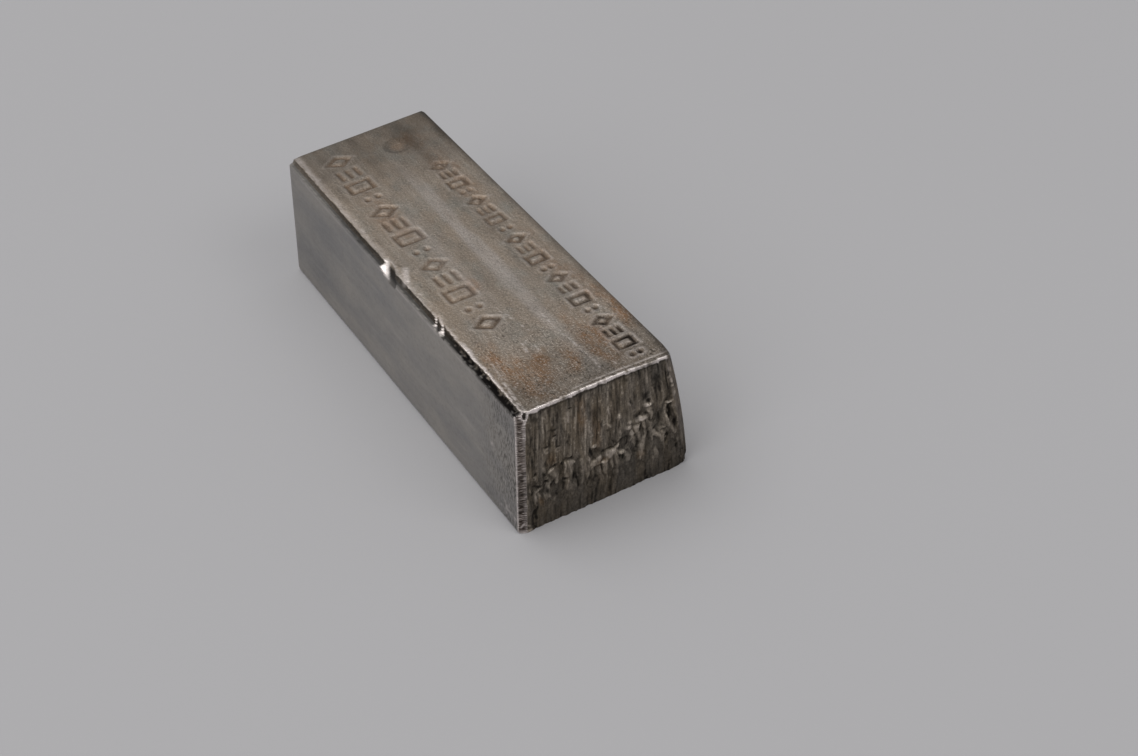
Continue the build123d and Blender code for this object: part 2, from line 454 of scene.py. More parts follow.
def spot(x, y, place_x, place_y, half_width, half_height, lean=0):
    """1 in the middle of an ellipse and 0 outside it, with the ellipse leaning as it goes down."""
    away = np.hypot((x - place_x - lean * (place_y - y)) / half_width, (y - place_y) / half_height)
    return fade(away, 0.2, 1.35)


def spots(x, y, places):
    """The strongest of several spots at each point."""
    return most(spot(x, y, *place) for place in places)


off_streak = x - STREAK_X - 0.2 * wander(y, 6, 61)
streak_width = STREAK_HALF_WIDTH * (0.85 + 0.3 * wander(y, 4, 62))
pale = np.exp(-(np.abs(off_streak / streak_width) ** 4))
pale = pale * (0.7 + 0.3 * grain(x, y, 0.7, 3, 63)) * (0.35 + 0.65 * ease(y, -21, -10))
pale = pale * ease(y, -26.5, -25.5) * fade(y, 8, 22)
second_streak = bell(x, -2.5, 0.8) * ease(y, -12, -5) * fade(y, 6, 12)
pale = np.maximum(pale, 0.4 * second_streak)
bent_x = x + 0.5 * grain(x, y, 1.3, 1.6, 72)
bent_y = y + 0.6 * grain(x, y, 1.2, 1.5, 73)
mottle = 0.66 + 0.4 * grain(x, y, 0.9, 1.8, 64) + 0.4 * grain(x, y, 0.3, 0.45, 65)
brown = spots(bent_x, bent_y, PATCHES)
brown = on_top * mottle * np.maximum(brown, 0.45 * spots(bent_x, bent_y, TONING))
rubs = most(stroke(x + 0.1 * grain(x, y, 0.5, 0.7, 74), y, *line) for line in RUBS)
rubs = on_top * rubs * ease(grain(x, y, 0.14, 0.25, 75) + 0.5 * grain(x, y, 0.8, 1.2, 76), -0.4, 0.8)
bare_and_highlight = np.maximum(bare_and_highlight, 0.44 * rubs)
# The tarnish is darker at both ends, along the right edge, beside the streak and in the dark patches
dim = 0.3 * fade(from_near_end, 2, 11) * (0.75 + 0.25 * ease(x, -3, 1))
dim = dim + sum(strength * spot(x, y, *place) for *place, strength in DARK_PATCHES)
dim = dim + 0.34 * ease(x + 0.15 * grain(x, y, 0.8, 1.5, 86), 7.5, 8.4)
dim = dim + 0.42 * ease(from_near_end, LENGTH - 16, LENGTH - 2)
dim = dim + 0.16 * fade(np.abs(x - 4.2), 0.4, 1.8) * ease(y, -18, -10)
dim = dim + 0.08 * fade(np.abs(x + 1), 0.2, 0.7) * ease(y, -14, -8)
soot_and_shade = np.maximum(soot_and_shade, on_top * np.clip(dim + 0.1 * grain(x, y, 1.1, 1.6, 66), 0, 1))

# Stamped and toned silver, long handled: grey-brown clouds under fine specks of grime and bright
# scratches, both thicker near the torn end
toned, tree, place = start_material("toned_stamped_silver")
along = add(tree, "SeparateXYZ", {"Vector": place}).outputs["Y"]
near_share = ranged(along, -24, -10, 1, 0.35)
long_lines = pattern(place, 0.45, (1, 24, 1), (0, 0, 0.02), low=0.45, high=0.75)
grimy = scaled(near_share, pattern(place, 1.7, (1, 1.5, 1), low=0.3, high=0.6))
tone = layered(
    mixed(pattern(place, 5, (1, 2.5, 1)), "#8F857A", "#968879"),
    (pattern(place, 2.2, (1, 2, 1), low=0.5, high=0.8), 1, "#87857E"),
    (long_lines, 0.3, "#B3ABA2"),
    (share_of(tree, "brown"), 0.9, "#8E6C4D"),
    (share_of(tree, "pale"), 1, "#ABA39D"),
    (scaled(pattern(place, 0.3, low=0.5, high=0.66), grimy), 0.84, "#372F29"),
    (scaled(pattern(place, 0.2, detail=1, low=0.56, high=0.68), near_share), 0.74, "#CFC3B8"),
)
for turn, size in ((0.15, 0.12), (-0.5, 0.1), (1.1, 0.1)):
    scratches = pattern(place, size, (1, 11, 1), (0, 0, turn), detail=2, low=0.6, high=0.75)
    tone = layered(tone, (scaled(scratches, near_share), 0.55, "#D2C8BE"))
dullness = ranged(pattern(place, 1.5), 0, 1, 0.42, 0.54)
finish(tone, dullness, pattern(place, 0.22), 0.00003)

# The marks. Two rows were punched into the top by hand, one mark at a time, and a round dimple at the
# far end. Each has a raised rim round its groove. They are plain lozenges, dashes, squares and dots.
STROKE = 0.44
MARK_DEPTH = 0.2
MARK_WIDTH_TO_HEIGHT = 0.72
DASH_SPACING_TO_HEIGHT = 0.4
DOT_SPACING_TO_HEIGHT = 0.5
DOT_RADIUS = 0.31
RIM_HEIGHT = 0.045
RIM_FROM_WALL = 0.24
RIM_HALF_WIDTH = 0.15
# Each row by the places of its first and last marks, the marks' height, the number of them and a seed
MARK_ROWS = (
    ((4.9, 15.7), (5.75, -25.2), 2.2, 20, 51),
    ((-4.05, 23), (-4.05, -12.6), 3, 13, 52),
)
DIMPLE = (2.8, 22.2, 1.75)
DIMPLE_DEPTH = 0.22


def mark_distance(along, across, height, kind):
    """Distance from a mark's stroke in mm, below 0 inside it. The mark stands across the bar.

    A lozenge and a square are outlines, dashes are three short bars one above another, and dots are two.
    """
    along, across = np.abs(along), np.abs(across)
    half_height = height / 2
    half_width = MARK_WIDTH_TO_HEIGHT * half_height
    diagonal = math.hypot(half_height, half_width)
    on_slope = (along * half_height + across * half_width) / diagonal
    slope_of_lozenge = half_height * half_width / diagonal
    lozenge = np.abs(on_slope - slope_of_lozenge) - STROKE / 2
    square = np.abs(np.maximum(along - half_width, across - half_height)) - STROKE / 2
    to_bar = np.minimum(across, np.abs(across - DASH_SPACING_TO_HEIGHT * height))
    dashes = np.maximum(along - half_width, to_bar - STROKE / 2)
    dots = np.hypot(along, across - DOT_SPACING_TO_HEIGHT * half_height) - DOT_RADIUS
    return np.choose(kind, (lozenge, dashes, square, dots))


top_share = on_top * fade(HEIGHT - BURR_HEIGHT - z, 0.1, 0.3)
near_share = fade(from_near_end, 3, 30)
for (first_x, first_y), (last_x, last_y), mark_height, count, seed in MARK_ROWS:
    struck = np.random.default_rng(seed).uniform(-1, 1, (count, 4))
    pitch = (first_y - last_y) / (count - 1)
    index = np.clip(np.rint((first_y - y) / pitch), 0, count - 1).astype(int)
    along = y - first_y + pitch * index + 0.1 * struck[index, 0]
    across = x - first_x - (last_x - first_x) * index / (count - 1) + 0.08 * struck[index, 1]
    tilt = 0.04 * struck[index, 3]
    along, across = along + tilt * across, across - tilt * along
    distance = mark_distance(along, across, mark_height - STROKE, index % 4)
    distance = distance + 0.04 * grain(x, y, 0.4, 0.4, 53)
    weight = (0.85 + 0.15 * struck[index, 2] + 0.12 * across / mark_height) * top_share
    groove = fade(distance, -0.14, 0.13)
    rim = bell(distance, RIM_FROM_WALL, RIM_HALF_WIDTH) * (1 - groove)
    points[:, 2] += weight * (RIM_HEIGHT * rim - MARK_DEPTH * groove)
    worn = 0.8 + 0.3 * grain(x, y, 0.6, 0.6, 54)
    soot_and_shade = np.maximum(soot_and_shade, np.minimum((0.5 + 0.75 * near_share**2) * weight * worn * groove, 0.93))
    brown = np.maximum(brown, 0.5 * weight * groove)
    bare_and_highlight = np.maximum(bare_and_highlight, (0.12 + 0.14 * near_share) * weight * worn * rim)
from_dimple = np.hypot(x - DIMPLE[0], y - DIMPLE[1]) / DIMPLE[2]
points[:, 2] -= DIMPLE_DEPTH * top_share * fade(from_dimple, 0.3, 1)
soot_and_shade = np.maximum(soot_and_shade, 0.5 * top_share * ease(from_dimple, 0.4, 0.75) * fade(from_dimple, 0.85, 1.1))
dimple_floor = top_share * fade(from_dimple, 0.2, 0.65)
soot_and_shade = soot_and_shade * (1 - 0.55 * dimple_floor)
brown = np.maximum(brown, 0.4 * dimple_floor)

# The struck edge. Where the top meets the left flank the corner is scuffed to a narrow bevel with a
# hollow along it, pitted near the torn end. The hollow is dark with sulphide and painted shade, blackest
# near the torn end. Over it the top's shoulder is worn bare, with a painted highlight along its lip.
BEVEL_ON_TOP = 0.65
BEVEL_ON_FLANK = 0.5
BEVEL_ROOT = 1.5
HOLLOW_DEPTH = 0.17
PITTED_TO = (-16, -8)
PIT_SIZE = 0.35
PIT_DEPTH = 0.15
# Width of the worn shoulder by the place along the bar
SHOULDER_WIDTHS = ((-27, 0.3), (-20, 0.38), (-12, 0.55), (-5, 0.8), (27, 0.9))
SHOULDER_DROP = 0.08


def bevel_edge(points, on_top, on_flank):
    """Takes the sharp top left corner down to a flat bevel.

    A point has a height from the corner's centre line over the two faces and over the bevel, each as a
    share of the face's own. Where the bevel's is larger, the point is drawn in along its ray by the one
    over the other. Returns the points, where the bevel is, the place across it, 0 at the top and 1 at
    the flank, and its outward direction.
    """
    lean = top_out @ left_out
    centre = top_left - (top_out + left_out) * BEVEL_ROOT / (1 + lean)
    ray = (points - centre) * [1, 0, 1]
    height_top, height_left = ray @ top_out, ray @ left_out
    beyond = (height_left > lean * height_top) & (height_top > lean * height_left)
    corner = (top_left - centre) * [1, 0, 1]
    start = corner + on_top[:, None] * [1, 0, 0]
    finish = corner - on_flank[:, None] * [math.sin(flank_slope), 0, math.cos(flank_slope)]
    run = finish - start
    out = run[:, ::-1] * [1, 0, -1]
    out = out / np.linalg.norm(out, axis=1)[:, None]
    over_faces = np.maximum(height_top, height_left) / BEVEL_ROOT
    over_bevel = np.sum(ray * out, axis=1) / np.sum(start * out, axis=1)
    bevelled = beyond & (over_bevel > over_faces)
    ray_share = np.where(bevelled, over_faces / np.where(bevelled, over_bevel, 1), 1)
    moved = points + (ray_share - 1)[:, None] * ray
    place = np.sum((ray * ray_share[:, None] - start) * run, axis=1) / np.sum(run * run, axis=1)
    return moved, bevelled, np.clip(place, 0, 1), out


bevel_wave = 1 + 0.12 * wander(y, 1.7, 11) + 0.1 * wander(y, 0.45, 12)
points, bevelled, down_bevel, out = bevel_edge(points, BEVEL_ON_TOP * bevel_wave, BEVEL_ON_FLANK / bevel_wave)
far_share = ease(y, *PITTED_TO)
hollow = np.sin(math.pi * down_bevel)
pits = PIT_DEPTH * (1 - far_share) * np.maximum(grain(y, down_bevel, PIT_SIZE, 0.4, 13), -0.3)
points = points - np.where(bevelled, HOLLOW_DEPTH * hollow**0.7 + pits * hollow, 0)[:, None] * out
x, y, z = points.T
# Sulphide and painted shade in the bevel's hollow, lighter at its borders, where scuffed, and towards the far
# end
sulphide_and_shade = (1 - 0.2 * far_share) * ease(down_bevel, 0.02, 0.2) * (1 - 0.5 * ease(down_bevel, 0.88, 1))
scuffs = ease(0.7 * grain(y, down_bevel, 0.45, 0.25, 14) + 0.5 * grain(y, down_bevel, 0.2, 0.5, 15), 0, 0.8)
scuff_share = 0.12 + 0.3 * (1 - far_share) + 0.65 * spot(y, down_bevel, -20.8, 0.3, 2.4, 0.6)
sulphide_and_shade = sulphide_and_shade * (1 - scuff_share * scuffs)
sulphide_and_shade = sulphide_and_shade * (1 - 0.25 * ease(y, 8, 22)) * (1 - 0.8 * ease(y, LENGTH / 2 - 1.6, LENGTH / 2 - 0.5))
soot_and_shade = np.where(bevelled, sulphide_and_shade, soot_and_shade)
brown = np.where(bevelled, 0, brown)
shoulder_y, shoulder_width = np.array(SHOULDER_WIDTHS).T
in_from_bevel = x + TOP_WIDTH / 2 - BEVEL_ON_TOP * bevel_wave
unevenly = 1 - 0.6 * ease(y, 0, 6)
shoulder = in_from_bevel / np.interp(y, shoulder_y, shoulder_width)
shoulder = shoulder + 0.35 * unevenly * grain(y, x, 0.5, 0.4, 16)
# The shoulder's bare share is partly wear and partly a painted highlight along the lip above the bevel
worn = on_top * ~bevelled * fade(shoulder, 0.2, 1.1)
points[:, 2] -= SHOULDER_DROP * worn * far_share
rub_and_highlight = 0.25 * grain(y, x, 1.3, 0.4, 17) + 0.15 * grain(y, x, 0.4, 0.3, 18)
rub_and_highlight = 0.26 + unevenly * rub_and_highlight
bare_and_highlight = np.maximum(bare_and_highlight, worn * (rub_and_highlight + 0.4 * (1 - far_share)))
# Painted shadow on the flank just under the bevel, and below it a pale lip, partly rubbed and partly painted
# highlight
below_bevel = HEIGHT - BEVEL_ON_FLANK - z
bevel_shadow = on_left * ~bevelled * fade(below_bevel, 0.06, 0.26 + 0.05 * wander(y, 0.6, 85))
soot_and_shade = np.maximum(soot_and_shade, (0.75 - 0.5 * far_share) * bevel_shadow)
flank_lip = on_left * ease(below_bevel, 0.15, 0.3) * fade(below_bevel, 0.35, 0.65)
lip_rub_and_highlight = 0.16 + 0.18 * ease(y, -13, -11) * fade(y, -2, 1)
bare_and_highlight = np.maximum(bare_and_highlight, lip_rub_and_highlight * flank_lip * (0.7 + 0.5 * grain(y, z, 1.1, 1, 84)))

# The nicks. Each is a rounded V across the struck edge. The blow came from the near side, so its far
# wall is bright, cut silver, and the rest of the cut is dark.
# Nicks by place along the bar, half length, depth, how bright the cut wall is, and where that wall
# starts across the edge
NICKS = ((1.4, 2.4, 0.84, 0.95, -0.9), (-9.5, 0.7, 0.76, 0.85, -0.35), (-10.9, 0.75, 0.8, 0.95, -0.4))
NICK_SLANT = 1.2
NICK_ROUNDNESS = 2.5
NICK_ROUGHNESS = 0.06
edge_out = np.array([-1.0, 0.0, 1.0]) / math.sqrt(2)
for nick_y, half_mouth, depth, brightness, wall_start in NICKS:
    height = (points - top_left) @ edge_out
    across = (points - top_left) @ [edge_out[2], 0, -edge_out[0]]
    along = (y - nick_y - NICK_SLANT * across) / half_mouth
    nick_floor = -depth * (1 - np.abs(along) ** NICK_ROUNDNESS) * ease(across, wall_start - 0.3, wall_start)
    nick_floor = nick_floor + NICK_ROUGHNESS * grain(y, across, 0.5, 0.6, 21)
    cut = (np.abs(along) < 1) & (height > nick_floor)
    points = points - np.where(cut, height - nick_floor, 0)[:, None] * edge_out
    facet = ease(along, 0.05, 0.35) * fade(along + 0.15 * across, 0.75, 1)
    facet = facet * ease(across, wall_start - 0.1, wall_start + 0.25)
    facet = facet * brightness * (0.85 + 0.3 * grain(y, across, 0.3, 0.3, 22))
    bare_and_highlight = np.where(cut, facet, bare_and_highlight)
    dark_in_cut = fade(across, 0.2, 0.6) * (0.9 - 0.3 * fade(across, -0.8, -0.2))
    soot_and_shade = np.where(cut, (1 - facet) * dark_in_cut, soot_and_shade)
# The large nick's blow also rubbed a patch of the shoulder on its near side
x = points[:, 0]
beside_nick = stroke(x, y, (-6.9, 0.3), (-7.8, -1.8), 0.42) * (0.8 + 0.3 * grain(x, y, 0.3, 0.3, 89))
bare_and_highlight = np.maximum(bare_and_highlight, 0.6 * on_top * beside_nick)

# The torn end. The shear's blade burnished the upper part into upright lines. Below them the silver
# tore: a ragged step down, dark gaps under it with painted shade, lumps with painted highlights on their
# upper sides, and drapes that get darker towards the base.
LINE_HEIGHT = 0.05
LEAN_OF_LINES = 0.085
# Broad lines by their place at the top, half width, and strength, which is below 0 for a groove
LINES = (
    (-7.5, 0.1, 0.9), (-6.95, 0.16, -0.4), (-6.45, 0.1, 0.9), (-5.85, 0.12, 0.8), (-5.4, 0.1, 0.6),
    (-4.6, 0.12, 0.5), (-3.95, 0.14, -0.4), (-3.45, 0.11, 1), (-2.75, 0.12, 0.9), (-2.1, 0.2, 0.3),
    (-1.5, 0.1, 1), (-1.12, 0.13, 1.2), (-0.5, 0.12, 0.6), (0.15, 0.14, -0.4), (0.7, 0.1, 0.5),
    (1.3, 0.13, 1.3), (1.75, 0.14, -0.5), (2.15, 0.1, 0.6), (2.95, 0.12, 0.7), (3.9, 0.14, -0.4),
    (4.4, 0.12, 0.7), (5, 0.14, -0.4), (5.55, 0.14, 0.8), (6.4, 0.16, -0.4),
)
TEAR_LINE = (
    (-9.9, 6.4), (-8.3, 6.6), (-7.4, 7), (-6.6, 7.3), (-5, 7.1), (-3.9, 7.3), (-3.1, 7.5), (-2.6, 6.6),
    (-1.9, 6.5), (-1.1, 7.1), (-0.4, 6.9), (0.4, 6.9), (1.2, 6.5), (2.2, 6.9), (2.8, 7.7), (3.5, 8.4),
    (4.2, 9), (5.1, 10), (5.8, 9.8), (6.5, 8.6), (7.4, 9.2), (8.3, 7.7), (9.9, 6.4),
)
TEAR_DEPTH = 0.3
FOOT_DEPTH = 0.1
# Gaps by place, half width, half height, and for some how far they lean going down
GAPS = (
    (-7.35, 6.85, 0.3, 0.25), (-6.35, 6.4, 0.22, 0.45, 0.1), (-5.3, 6.85, 0.4, 0.2),
    (-4.4, 6.6, 0.22, 0.35), (-3.55, 7, 0.5, 0.2), (-1.15, 6.5, 0.22, 0.75), (0.2, 6, 0.35, 0.3),
    (1.15, 6.05, 0.7, 0.14), (2.35, 6.4, 0.2, 0.7), (3, 6, 0.18, 0.6), (4.25, 8.4, 0.22, 0.65),
    (5.5, 10.15, 0.35, 0.22), (6.5, 7.3, 0.25, 1.3, 0.1), (8.05, 5.9, 0.25, 0.8, 0.1),
    (-7.95, 4.65, 0.17, 0.45), (-7.35, 5.25, 0.65, 0.22), (-6.35, 5.25, 0.33, 0.33),
    (-6.15, 3.85, 0.22, 0.35), (-5.4, 3.35, 0.2, 0.25), (-4.5, 3.8, 0.2, 0.6, -0.2), (-3, 3.6, 0.13, 0.8),
    (-7.8, 2.4, 0.25, 0.4, 0.2), (-7.75, 1.5, 0.16, 0.6), (-3, 13.15, 0.32, 0.16),
)
GAP_DEPTH = 0.13
# Sooty smudges among the lines, by place, half width and half height
SMUDGES = (
    (-5.85, 9.7, 0.4, 0.18), (-3.5, 9.3, 0.22, 0.9), (-6.8, 13.5, 0.5, 0.6), (-4.9, 11.4, 0.5, 0.2),
    (1, 8.3, 0.3, 0.2), (3.6, 10.6, 0.2, 0.7), (3.2, 13.9, 0.5, 0.4), (6.6, 12.4, 0.6, 1.2),
    (5.2, 10.8, 0.5, 0.5), (-7.15, 10, 0.25, 0.3), (0.2, 9.5, 0.2, 0.5),
)
# Broad dark valleys of the tear in the same way
VALLEYS = (
    (-0.45, 6.25, 0.85, 0.5), (2.65, 6.5, 0.6, 0.9), (6.45, 7.2, 0.5, 1.5), (7.8, 7.4, 0.35, 1),
    (8.1, 5.9, 0.35, 0.9), (4.2, 8.6, 0.35, 0.8), (-3.6, 7.05, 0.6, 0.3), (-5.2, 6.85, 0.5, 0.3),
    (-6.4, 6.3, 0.4, 0.7), (-7, 5.1, 0.8, 0.25), (-6.2, 3.9, 0.35, 0.5), (-4.5, 3.9, 0.3, 0.8),
    (-5.4, 3.4, 0.3, 0.4), (-3.05, 4.2, 0.13, 1.3), (-7.8, 2.3, 0.35, 0.6), (3.55, 4.3, 0.35, 0.9),
    (5.3, 5.2, 0.2, 1), (6.9, 5.5, 0.4, 0.3), (0.6, 4.5, 0.14, 0.6),
)
# Lumps by place, half width, half height, and the brightness of their painted highlight
LUMPS = (
    (-0.7, 7.05, 0.22, 0.2, 0.7), (-5.6, 6.5, 0.3, 0.2, 0.4), (-4.1, 6.35, 0.18, 0.35, 0.45),
    (-3.45, 6.6, 0.35, 0.22, 0.45), (-0.25, 5.4, 0.28, 0.18, 0.6), (0.2, 4.85, 0.28, 0.2, 0.7),
    (1.2, 5.4, 0.7, 0.34, 1.05), (1.1, 5.5, 0.42, 0.2, 1.3), (1.85, 5.85, 0.22, 0.16, 0.5),
    (2.25, 5.05, 0.28, 0.3, 0.45), (3.15, 7.5, 0.36, 0.2, 0.9), (3.4, 8.1, 0.22, 0.18, 0.7),
    (3.45, 6.75, 0.2, 0.35, 0.55), (4.1, 7.3, 0.33, 0.24, 0.8), (4.65, 8.05, 0.45, 0.32, 1),
    (5.4, 9.6, 0.34, 0.22, 0.9), (7.65, 8.75, 0.42, 0.2, 0.6), (3.45, 10.5, 0.13, 0.4, 0.45),
    (2.2, 9.6, 0.2, 0.2, 0.5), (1.15, 10.8, 0.11, 0.6, 0.6), (1.2, 9, 0.3, 0.2, 0.4),
    (-1.45, 5.8, 0.12, 0.4, 0.5), (-0.85, 5.28, 0.4, 0.13, 0.45), (-7.25, 4.75, 0.35, 0.12, 0.5),
    (-7.6, 4.1, 0.11, 0.6, 0.45), (-3.25, 12.2, 0.14, 0.6, 0.55), (-1.2, 9.6, 0.16, 0.7, 0.4),
    (8.1, 13, 0.14, 0.25, 0.6), (7.9, 11.8, 0.2, 0.16, 0.55), (8.2, 11.4, 0.14, 0.2, 0.65),
    (8.3, 10.6, 0.13, 0.2, 0.6), (8.4, 9.6, 0.12, 0.25, 0.4),
)
LUMP_HEIGHT = 0.16
# Drapes by the place of each end, and half width: folds that run down from the lumps
DRAPES = (
    ((4.9, 8), (5.5, 6.9), 0.26), ((5.5, 6.9), (6, 5.4), 0.3), ((5.95, 5.4), (6.8, 4.4), 0.28),
    ((4.75, 7.9), (4.9, 6.3), 0.24), ((4.9, 6.3), (4.4, 4.4), 0.34), ((4.4, 4.6), (4.2, 3.1), 0.36),
    ((5.4, 9.5), (5.6, 7.9), 0.24), ((7.5, 8.7), (6.95, 7.3), 0.22), ((6.95, 7.3), (7.4, 6.1), 0.28),
    ((7.4, 6.1), (8.1, 4.8), 0.3), ((8.4, 8.2), (8.5, 6), 0.22), ((3.5, 6.6), (3.75, 5), 0.24),
    ((3.95, 7.1), (4.3, 5.2), 0.22), ((-1.5, 6.3), (-1.35, 5.3), 0.13), ((-1.35, 5.3), (0.3, 4.8), 0.24),
    ((0.85, 5.2), (0.9, 3.6), 0.2), ((1.5, 5.2), (1.7, 3.8), 0.3), ((2.2, 5.1), (2.95, 3.9), 0.34),
    ((-3.5, 6.5), (-3.7, 4.8), 0.42), ((-4.1, 6.3), (-4.05, 4.9), 0.24), ((-5.6, 6.4), (-5.2, 4.8), 0.3),
    ((-7.6, 4.7), (-7.7, 3), 0.14), ((-4.1, 4.3), (-3.9, 2.9), 0.36), ((-2.3, 6.4), (-2.4, 3.4), 0.3),
    ((0.3, 4.6), (0.2, 3.4), 0.3), ((6.7, 6), (6.9, 4.6), 0.3),
)
DRAPE_HEIGHT = 0.15
FLAKE_HEIGHT = 0.14
FLAKE_LIP = 0.05
SMALL_FLAKE_HEIGHT = 0.07
LEAF_HEIGHT = 0.08
RING_HEIGHT = 0.06
GRAIN_HEIGHT = 0.012
# Small torn rings by place and radius, and leaf-shaped flakes by place, half width and half height
RINGS = ((-5.85, 9.15, 0.32), (-4.7, 8.75, 0.26), (-4.95, 10.2, 0.26), (-7.6, 6.4, 0.2), (-6.3, 5.85, 0.2))
LEAVES = ((-7.45, 4, 0.42, 1.1), (-6.1, 3.9, 0.4, 1), (-3.8, 3.4, 0.6, 1.1), (-5.1, 5.6, 0.4, 0.8))
# Rust-coloured spots by place, half width and half height
RUSTY = (
    (-5.55, 7.9, 0.6, 0.9), (-7.1, 3.3, 0.4, 0.8), (0, 4.9, 1, 0.5), (4.3, 3.6, 0.5, 0.6),
    (-1.9, 11.5, 0.7, 2.6), (-0.4, 9, 0.6, 3),
)


def lump_highlight_at(x, z, place_x, place_z, half_width, half_height, brightness):
    """A lump's painted highlight: brightness over its upper side, fading out below its middle."""
    lit = ease((z - place_z) / half_height, -1.6, 0)
    return brightness * lit * spot(x, z, place_x, place_z, 1.35 * half_width, 1.5 * half_height)


def line_height(x, z):
    """The blade's lines, from about -1 to 1: noise drawn out along z, and listed bells across x."""
    x = x + LEAN_OF_LINES * (HEIGHT - z) * fade(x, 2, 6) + 0.07 * grain(x, z, 2.5, 2, 31)
    height = 0.6 * grain(x, z, 0.16, 1.4, 33) + 0.35 * grain(x, z, 0.32, 5, 32)
    height = height + 0.15 * grain(x, z, 0.9, 30, 34)
    broken = 0.65 + 0.6 * grain(x, z, 1.3, 0.9, 35)
    for place, half_width, strength in LINES:
        height = height + 0.6 * strength * broken * bell(x, place, half_width)
    return height


# From here on x and z are places in the sharp stock. Bent a little, they keep the features on the end
# from being true circles or lines.
x, z = end_x, end_z
bent_x = x + 0.15 * grain(x, z, 0.9, 0.9, 40) + 0.08 * grain(x, z, 0.4, 0.4, 41)
bent_z = z + 0.25 * grain(x, z, 0.7, 0.7, 42) + 0.06 * grain(x, z, 0.3, 0.3, 43)
lines = line_height(x, z)
tear_x, tear_z = np.array(TEAR_LINE).T
ragged = 0.6 * wander(x, 0.6, 36) + 0.5 * wander(x, 0.28, 37)
below = ease(np.interp(x, tear_x, tear_z) + ragged - z, -0.1, 0.6)
gap = spots(bent_x, bent_z, GAPS)
lump = most(spot(bent_x, bent_z, *place, 1.1 * wide, 1.3 * high) for *place, wide, high, _ in LUMPS)
# Painted highlights over the lumps' upper sides, fading out below their middles
lump_highlight = most(lump_highlight_at(bent_x, bent_z, *place) for place in LUMPS) * (0.85 + 0.35 * grain(x, z, 0.25, 0.3, 70))
smudge = spots(bent_x, bent_z, SMUDGES)
valley = spots(bent_x, bent_z, VALLEYS)
folded = most(stroke(bent_x, bent_z, *line, taper=0.25) for line in DRAPES)
strands = grain(bent_x, bent_z, 0.3, 1.7, 77) + 0.5 * grain(bent_x, bent_z, 0.6, 2.6, 78)
folded = np.maximum(folded, 0.6 * ease(strands, -0.1, 0.9)) * (1 - 0.5 * valley)
folded = folded * (0.8 + 0.3 * grain(x, z, 0.5, 0.7, 48))
torn_share = below * ease(z, 1, 4.2)
from_ring = np.min([np.hypot(x - ring_x, z - ring_z) / radius for ring_x, ring_z, radius in RINGS], axis=0)
ring_rim = bell(from_ring, 0.85, 0.35) * (0.7 + 0.5 * grain(x, z, 0.3, 0.3, 56))
leaf = spots(bent_x, bent_z, LEAVES)
wide_leaf = most(spot(bent_x, bent_z - 0.2, *place, 1.4 * wide, 1.25 * high) for *place, wide, high in LEAVES)
leaf_edge = wide_leaf * fade(leaf, 0, 0.5)

# The torn floor rises to the foot. It carries flakes, where noise drawn out along z passes a level.
torn_floor = (TEAR_DEPTH - FOOT_DEPTH) * ease(z, 0.5, 5.5) * (0.65 + 0.35 * grain(x, z, 0.8, 1.6, 45))
flake = grain(bent_x, bent_z, 0.55, 1.5, 38)
small_flake = grain(bent_x, bent_z, 0.3, 0.7, 39)
flakes = FLAKE_HEIGHT * ease(flake, -0.5, 0) + FLAKE_LIP * bell(flake, 0.05, 0.14)
flakes = flakes + SMALL_FLAKE_HEIGHT * ease(small_flake, -0.4, 0.2)
folds = 0.05 * grain(bent_x, z, 0.5, 3, 46) + 0.04 * grain(bent_x, z, 0.25, 2, 47)
torn = (flakes + DRAPE_HEIGHT * folded) * ease(z, 0.8, 3.6) + folds
torn = torn + LEAF_HEIGHT * leaf - FOOT_DEPTH - torn_floor
height = LINE_HEIGHT * lines * (1 - below) + torn * below + GRAIN_HEIGHT * grain(x, z, 0.2, 0.3, 44)
sunk = most((0.8 * gap, 0.5 * leaf_edge, 0.9 * valley))
height = height + LUMP_HEIGHT * lump - GAP_DEPTH * sunk + RING_HEIGHT * ring_rim

FILED_AT_BASE = 0.9
FILED_AT_TOP = 1.6
FILED_ON_FLANK = 0.4
flat_width = FILED_AT_BASE + share_up * (FILED_AT_TOP - FILED_AT_BASE)
height = height * ease(x + flank_x - flat_width, -0.2, 0.3)
height = np.minimum(height, z * math.tan(NEAR_END_LEAN) - 0.01)
points[:, 1] -= height * fade(from_near_end, 0, SKIRT_DEPTH)


def smoothed(field, reach):
    """A grid field averaged over a square window, twice, with the border repeated past the grid."""
    window = np.ones(2 * reach + 1) / (2 * reach + 1)
    for _ in range(2):
        for axis in (0, 1):
            padded = np.pad(field, [(reach, reach) if a == axis else (0, 0) for a in (0, 1)], "edge")
            field = np.apply_along_axis(np.convolve, axis, padded, window, "valid")
    return field


# Sulphide and painted shade darken the grooves, hollows, gaps and valleys, with painted shadow over each
# torn ring and painted shade by region, most towards the base; the crests are pale, partly rubbed and
# partly painted highlight
end_count = end_shape[0] * end_shape[1]
end_height = height[:end_count].reshape(end_shape)
fine = np.zeros(len(points))
broad = np.zeros(len(points))
fine[:end_count] = (end_height - smoothed(end_height, 2)).ravel()
broad[:end_count] = (end_height - smoothed(end_height, 8)).ravel()
line_share = 1 - 0.3 * below
patchy = 0.75 + 0.35 * grain(x, z, 0.5, 0.8, 55)
grooves = 0.66 * ease(-lines, -0.15, 0.8) * line_share
